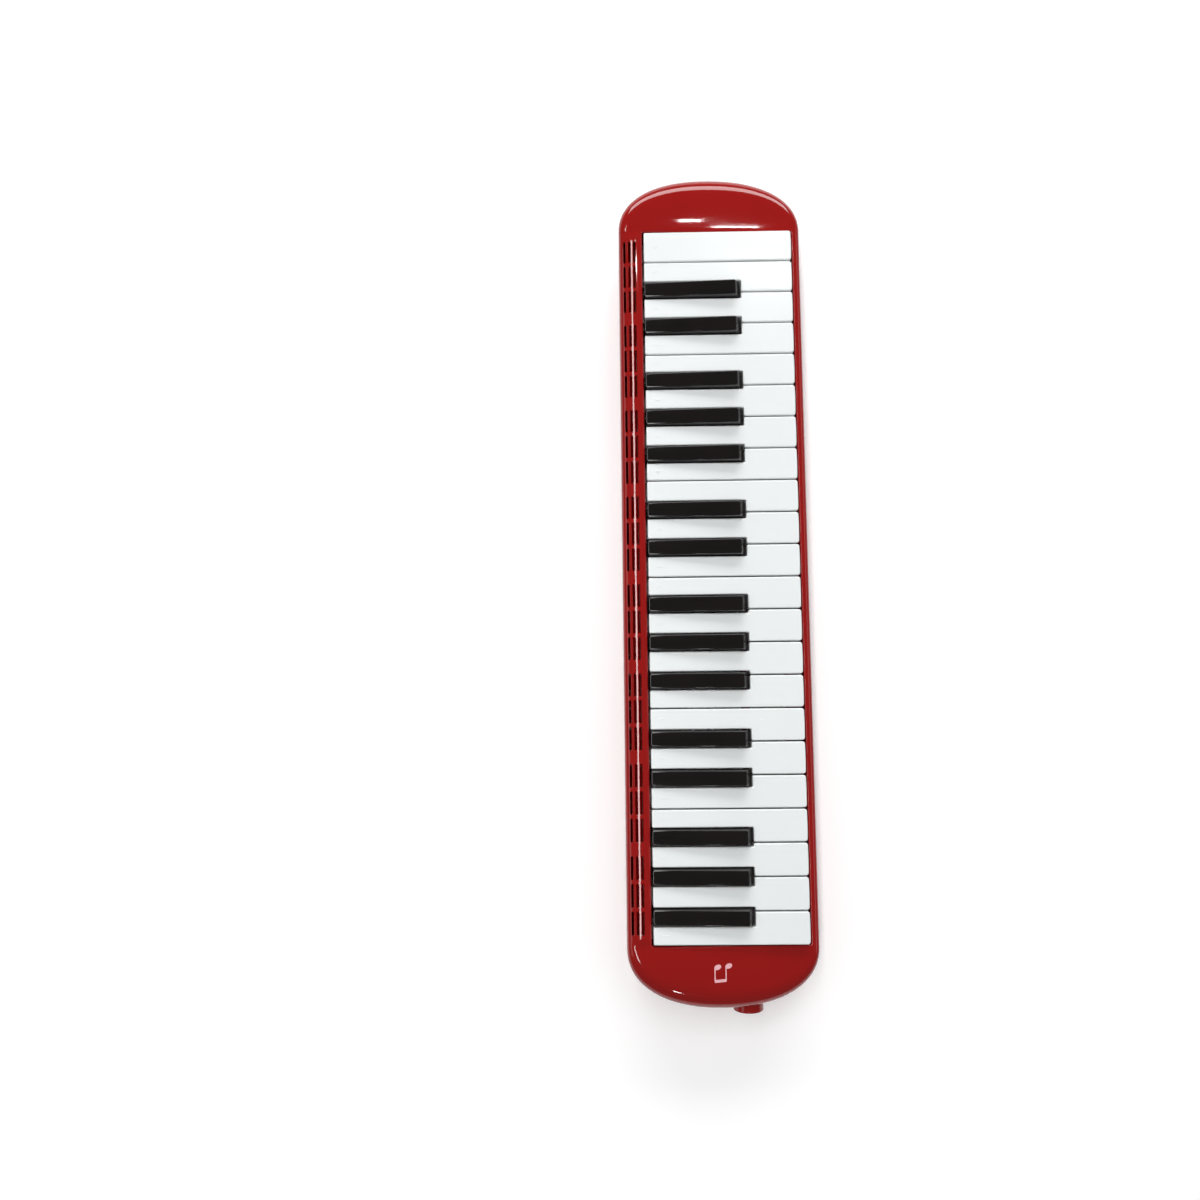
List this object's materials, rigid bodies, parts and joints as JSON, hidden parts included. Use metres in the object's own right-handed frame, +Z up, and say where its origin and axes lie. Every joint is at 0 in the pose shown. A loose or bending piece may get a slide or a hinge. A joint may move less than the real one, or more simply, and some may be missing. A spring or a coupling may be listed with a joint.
{
  "type": "melodica",
  "caption": "Reed keyboard wind instrument with a rounded red case, white and black lever keys, a rear sound grille, a mouthpiece socket and a hand strap.",
  "frame": {"origin": "Middle of the whole instrument's footprint, mouthpiece socket included, on the surface that the feet stand on", "axes": "+X along the keyboard towards the treble end, +Y towards the rear grille, +Z up through the keys"},
  "size_m": [0.4858, 0.1074, 0.0445],
  "materials": {
    "red_shell": "polished injection-moulded ABS",
    "white_key": "semi-gloss moulded ABS",
    "black_key": "polished moulded ABS",
    "steel": "bright spring steel",
    "screw_steel": "zinc-plated",
    "reed_brass": "rolled",
    "chamber_plastic": "moulded ABS",
    "seal_rubber": "soft silicone",
    "felt": "wool felt",
    "strap_white": "woven elastic webbing"
  },
  "bodies": {
    "case": {"upper_case": "red_shell", "lower_case": "red_shell", "key_pivot_rod": "steel", "key_spring_comb": "steel", "key_rest_felt": "felt", "chamber_body": "chamber_plastic", "chamber_gasket": "seal_rubber", "chamber_cover": "chamber_plastic", "chamber_cover_screws": "screw_steel", "reed_plate_bass": "reed_brass", "reed_plate_treble": "reed_brass", "reeds": "reed_brass", "reed_plate_screws": "screw_steel", "mouthpiece_socket": "red_shell", "socket_seal_ring": "seal_rubber", "drain_spring": "steel", "hand_strap": "strap_white", "strap_holder_bass": "red_shell", "strap_holder_treble": "red_shell", "case_screws": "screw_steel", "chamber_screws": "screw_steel"},
    "white_01": {"white_key_01": "white_key"},
    "white_02": {"white_key_02": "white_key"},
    "white_03": {"white_key_03": "white_key"},
    "white_04": {"white_key_04": "white_key"},
    "white_05": {"white_key_05": "white_key"},
    "white_06": {"white_key_06": "white_key"},
    "white_07": {"white_key_07": "white_key"},
    "white_08": {"white_key_08": "white_key"},
    "white_09": {"white_key_09": "white_key"},
    "white_10": {"white_key_10": "white_key"},
    "white_11": {"white_key_11": "white_key"},
    "white_12": {"white_key_12": "white_key"},
    "white_13": {"white_key_13": "white_key"},
    "white_14": {"white_key_14": "white_key"},
    "white_15": {"white_key_15": "white_key"},
    "white_16": {"white_key_16": "white_key"},
    "white_17": {"white_key_17": "white_key"},
    "white_18": {"white_key_18": "white_key"},
    "white_19": {"white_key_19": "white_key"},
    "white_20": {"white_key_20": "white_key"},
    "white_21": {"white_key_21": "white_key"},
    "white_22": {"white_key_22": "white_key"},
    "black_01": {"black_key_01": "black_key"},
    "black_02": {"black_key_02": "black_key"},
    "black_03": {"black_key_03": "black_key"},
    "black_04": {"black_key_04": "black_key"},
    "black_05": {"black_key_05": "black_key"},
    "black_06": {"black_key_06": "black_key"},
    "black_07": {"black_key_07": "black_key"},
    "black_08": {"black_key_08": "black_key"},
    "black_09": {"black_key_09": "black_key"},
    "black_10": {"black_key_10": "black_key"},
    "black_11": {"black_key_11": "black_key"},
    "black_12": {"black_key_12": "black_key"},
    "black_13": {"black_key_13": "black_key"},
    "black_14": {"black_key_14": "black_key"},
    "black_15": {"black_key_15": "black_key"},
    "drain": {"drain_button": "red_shell", "drain_valve_seal": "seal_rubber"}
  },
  "joints": [
    {"name": "white_01_press", "type": "hinge", "parent": "case", "child": "white_01", "pos_m": [-0.1974, 0.014, 0.0285], "axis": [1, 0, 0], "range_deg": [0, 3.5], "stiffness_Nm_per_rad": 0.15, "springref_deg": -8.59, "deforming": ["key_spring_comb"]},
    {"name": "white_02_press", "type": "hinge", "parent": "case", "child": "white_02", "pos_m": [-0.17635, 0.014, 0.0285], "axis": [1, 0, 0], "range_deg": [0, 3.5], "stiffness_Nm_per_rad": 0.15, "springref_deg": -8.59},
    {"name": "white_03_press", "type": "hinge", "parent": "case", "child": "white_03", "pos_m": [-0.15465, 0.014, 0.0285], "axis": [1, 0, 0], "range_deg": [0, 3.5], "stiffness_Nm_per_rad": 0.15, "springref_deg": -8.59},
    {"name": "white_04_press", "type": "hinge", "parent": "case", "child": "white_04", "pos_m": [-0.1336, 0.014, 0.0285], "axis": [1, 0, 0], "range_deg": [0, 3.5], "stiffness_Nm_per_rad": 0.15, "springref_deg": -8.59},
    {"name": "white_05_press", "type": "hinge", "parent": "case", "child": "white_05", "pos_m": [-0.12225, 0.014, 0.0285], "axis": [1, 0, 0], "range_deg": [0, 3.5], "stiffness_Nm_per_rad": 0.15, "springref_deg": -8.59},
    {"name": "white_06_press", "type": "hinge", "parent": "case", "child": "white_06", "pos_m": [-0.1004, 0.014, 0.0285], "axis": [1, 0, 0], "range_deg": [0, 3.5], "stiffness_Nm_per_rad": 0.15, "springref_deg": -8.59},
    {"name": "white_07_press", "type": "hinge", "parent": "case", "child": "white_07", "pos_m": [-0.07855, 0.014, 0.0285], "axis": [1, 0, 0], "range_deg": [0, 3.5], "stiffness_Nm_per_rad": 0.15, "springref_deg": -8.59},
    {"name": "white_08_press", "type": "hinge", "parent": "case", "child": "white_08", "pos_m": [-0.0672, 0.014, 0.0285], "axis": [1, 0, 0], "range_deg": [0, 3.5], "stiffness_Nm_per_rad": 0.15, "springref_deg": -8.59},
    {"name": "white_09_press", "type": "hinge", "parent": "case", "child": "white_09", "pos_m": [-0.04615, 0.014, 0.0285], "axis": [1, 0, 0], "range_deg": [0, 3.5], "stiffness_Nm_per_rad": 0.15, "springref_deg": -8.59},
    {"name": "white_10_press", "type": "hinge", "parent": "case", "child": "white_10", "pos_m": [-0.02445, 0.014, 0.0285], "axis": [1, 0, 0], "range_deg": [0, 3.5], "stiffness_Nm_per_rad": 0.15, "springref_deg": -8.59},
    {"name": "white_11_press", "type": "hinge", "parent": "case", "child": "white_11", "pos_m": [-0.0034, 0.014, 0.0285], "axis": [1, 0, 0], "range_deg": [0, 3.5], "stiffness_Nm_per_rad": 0.15, "springref_deg": -8.59},
    {"name": "white_12_press", "type": "hinge", "parent": "case", "child": "white_12", "pos_m": [0.00795, 0.014, 0.0285], "axis": [1, 0, 0], "range_deg": [0, 3.5], "stiffness_Nm_per_rad": 0.15, "springref_deg": -8.59},
    {"name": "white_13_press", "type": "hinge", "parent": "case", "child": "white_13", "pos_m": [0.0298, 0.014, 0.0285], "axis": [1, 0, 0], "range_deg": [0, 3.5], "stiffness_Nm_per_rad": 0.15, "springref_deg": -8.59},
    {"name": "white_14_press", "type": "hinge", "parent": "case", "child": "white_14", "pos_m": [0.05165, 0.014, 0.0285], "axis": [1, 0, 0], "range_deg": [0, 3.5], "stiffness_Nm_per_rad": 0.15, "springref_deg": -8.59},
    {"name": "white_15_press", "type": "hinge", "parent": "case", "child": "white_15", "pos_m": [0.063, 0.014, 0.0285], "axis": [1, 0, 0], "range_deg": [0, 3.5], "stiffness_Nm_per_rad": 0.15, "springref_deg": -8.59},
    {"name": "white_16_press", "type": "hinge", "parent": "case", "child": "white_16", "pos_m": [0.08405, 0.014, 0.0285], "axis": [1, 0, 0], "range_deg": [0, 3.5], "stiffness_Nm_per_rad": 0.15, "springref_deg": -8.59},
    {"name": "white_17_press", "type": "hinge", "parent": "case", "child": "white_17", "pos_m": [0.10575, 0.014, 0.0285], "axis": [1, 0, 0], "range_deg": [0, 3.5], "stiffness_Nm_per_rad": 0.15, "springref_deg": -8.59},
    {"name": "white_18_press", "type": "hinge", "parent": "case", "child": "white_18", "pos_m": [0.1268, 0.014, 0.0285], "axis": [1, 0, 0], "range_deg": [0, 3.5], "stiffness_Nm_per_rad": 0.15, "springref_deg": -8.59},
    {"name": "white_19_press", "type": "hinge", "parent": "case", "child": "white_19", "pos_m": [0.13815, 0.014, 0.0285], "axis": [1, 0, 0], "range_deg": [0, 3.5], "stiffness_Nm_per_rad": 0.15, "springref_deg": -8.59},
    {"name": "white_20_press", "type": "hinge", "parent": "case", "child": "white_20", "pos_m": [0.16, 0.014, 0.0285], "axis": [1, 0, 0], "range_deg": [0, 3.5], "stiffness_Nm_per_rad": 0.15, "springref_deg": -8.59},
    {"name": "white_21_press", "type": "hinge", "parent": "case", "child": "white_21", "pos_m": [0.18185, 0.014, 0.0285], "axis": [1, 0, 0], "range_deg": [0, 3.5], "stiffness_Nm_per_rad": 0.15, "springref_deg": -8.59},
    {"name": "white_22_press", "type": "hinge", "parent": "case", "child": "white_22", "pos_m": [0.1972, 0.014, 0.0285], "axis": [1, 0, 0], "range_deg": [0, 3.5], "stiffness_Nm_per_rad": 0.15, "springref_deg": -8.59},
    {"name": "black_01_press", "type": "hinge", "parent": "case", "child": "black_01", "pos_m": [-0.1872, 0.014, 0.0285], "axis": [1, 0, 0], "range_deg": [0, 5.5], "stiffness_Nm_per_rad": 0.12, "springref_deg": -10.31},
    {"name": "black_02_press", "type": "hinge", "parent": "case", "child": "black_02", "pos_m": [-0.1655, 0.014, 0.0285], "axis": [1, 0, 0], "range_deg": [0, 5.5], "stiffness_Nm_per_rad": 0.12, "springref_deg": -10.31},
    {"name": "black_03_press", "type": "hinge", "parent": "case", "child": "black_03", "pos_m": [-0.1438, 0.014, 0.0285], "axis": [1, 0, 0], "range_deg": [0, 5.5], "stiffness_Nm_per_rad": 0.12, "springref_deg": -10.31},
    {"name": "black_04_press", "type": "hinge", "parent": "case", "child": "black_04", "pos_m": [-0.1113, 0.014, 0.0285], "axis": [1, 0, 0], "range_deg": [0, 5.5], "stiffness_Nm_per_rad": 0.12, "springref_deg": -10.31},
    {"name": "black_05_press", "type": "hinge", "parent": "case", "child": "black_05", "pos_m": [-0.0895, 0.014, 0.0285], "axis": [1, 0, 0], "range_deg": [0, 5.5], "stiffness_Nm_per_rad": 0.12, "springref_deg": -10.31},
    {"name": "black_06_press", "type": "hinge", "parent": "case", "child": "black_06", "pos_m": [-0.057, 0.014, 0.0285], "axis": [1, 0, 0], "range_deg": [0, 5.5], "stiffness_Nm_per_rad": 0.12, "springref_deg": -10.31},
    {"name": "black_07_press", "type": "hinge", "parent": "case", "child": "black_07", "pos_m": [-0.0353, 0.014, 0.0285], "axis": [1, 0, 0], "range_deg": [0, 5.5], "stiffness_Nm_per_rad": 0.12, "springref_deg": -10.31},
    {"name": "black_08_press", "type": "hinge", "parent": "case", "child": "black_08", "pos_m": [-0.0136, 0.014, 0.0285], "axis": [1, 0, 0], "range_deg": [0, 5.5], "stiffness_Nm_per_rad": 0.12, "springref_deg": -10.31},
    {"name": "black_09_press", "type": "hinge", "parent": "case", "child": "black_09", "pos_m": [0.0189, 0.014, 0.0285], "axis": [1, 0, 0], "range_deg": [0, 5.5], "stiffness_Nm_per_rad": 0.12, "springref_deg": -10.31},
    {"name": "black_10_press", "type": "hinge", "parent": "case", "child": "black_10", "pos_m": [0.0407, 0.014, 0.0285], "axis": [1, 0, 0], "range_deg": [0, 5.5], "stiffness_Nm_per_rad": 0.12, "springref_deg": -10.31},
    {"name": "black_11_press", "type": "hinge", "parent": "case", "child": "black_11", "pos_m": [0.0732, 0.014, 0.0285], "axis": [1, 0, 0], "range_deg": [0, 5.5], "stiffness_Nm_per_rad": 0.12, "springref_deg": -10.31},
    {"name": "black_12_press", "type": "hinge", "parent": "case", "child": "black_12", "pos_m": [0.0949, 0.014, 0.0285], "axis": [1, 0, 0], "range_deg": [0, 5.5], "stiffness_Nm_per_rad": 0.12, "springref_deg": -10.31},
    {"name": "black_13_press", "type": "hinge", "parent": "case", "child": "black_13", "pos_m": [0.1166, 0.014, 0.0285], "axis": [1, 0, 0], "range_deg": [0, 5.5], "stiffness_Nm_per_rad": 0.12, "springref_deg": -10.31},
    {"name": "black_14_press", "type": "hinge", "parent": "case", "child": "black_14", "pos_m": [0.1491, 0.014, 0.0285], "axis": [1, 0, 0], "range_deg": [0, 5.5], "stiffness_Nm_per_rad": 0.12, "springref_deg": -10.31},
    {"name": "black_15_press", "type": "hinge", "parent": "case", "child": "black_15", "pos_m": [0.1709, 0.014, 0.0285], "axis": [1, 0, 0], "range_deg": [0, 5.5], "stiffness_Nm_per_rad": 0.12, "springref_deg": -10.31},
    {"name": "drain_press", "type": "slide", "parent": "case", "child": "drain", "axis": [0, 0, 1], "range_m": [0, 0.0015], "stiffness_N_per_m": 300, "springref_m": -0.003, "deforming": ["drain_spring"]}
  ]
}
